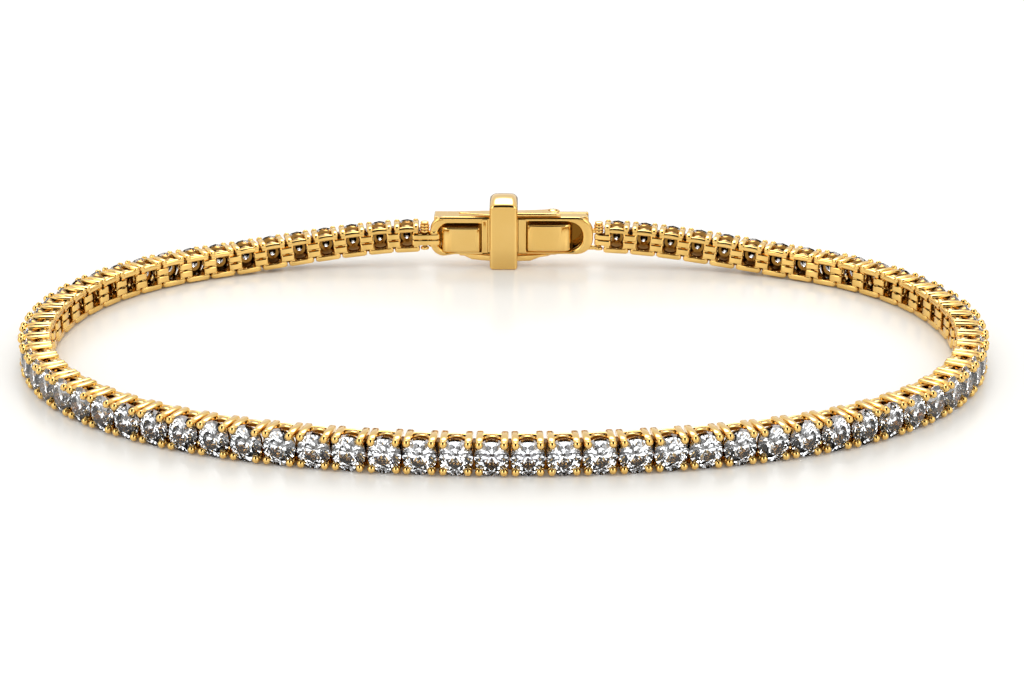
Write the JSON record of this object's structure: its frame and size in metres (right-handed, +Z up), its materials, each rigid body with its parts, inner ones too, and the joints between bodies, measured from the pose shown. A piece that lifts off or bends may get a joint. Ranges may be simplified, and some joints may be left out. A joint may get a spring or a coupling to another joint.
{
  "type": "tennis bracelet",
  "caption": "Closed oval loop of small square four-prong settings with round stones, joined by hinge bars and shut by a box clasp with a fold-over safety lever.",
  "frame": {"origin": "on the table under the middle of the closed loop", "axes": "+Z up from the table, +Y towards the clasp at the back of the loop, +X to the right of someone who looks at the inside of the clasp from the front"},
  "size_m": [0.0688, 0.0456, 0.0055],
  "materials": {
    "gold": "polished",
    "diamond": "faceted"
  },
  "bodies": {
    "bracelet": {"chain_left": "gold", "chain_right": "gold", "end_ring_left": "gold", "end_ring_right": "gold", "clasp_tongue": "gold", "clasp_box": "gold", "tongue_block": "gold", "box_block": "gold"},
    "lever": {"safety_lever": "gold"}
  },
  "joints": [
    {"name": "lever_pivot", "type": "hinge", "parent": "bracelet", "child": "lever", "pos_m": [0.00374, 0.02177, 0.00265], "axis": [0, 0, 1], "range_deg": [0, 100]}
  ]
}
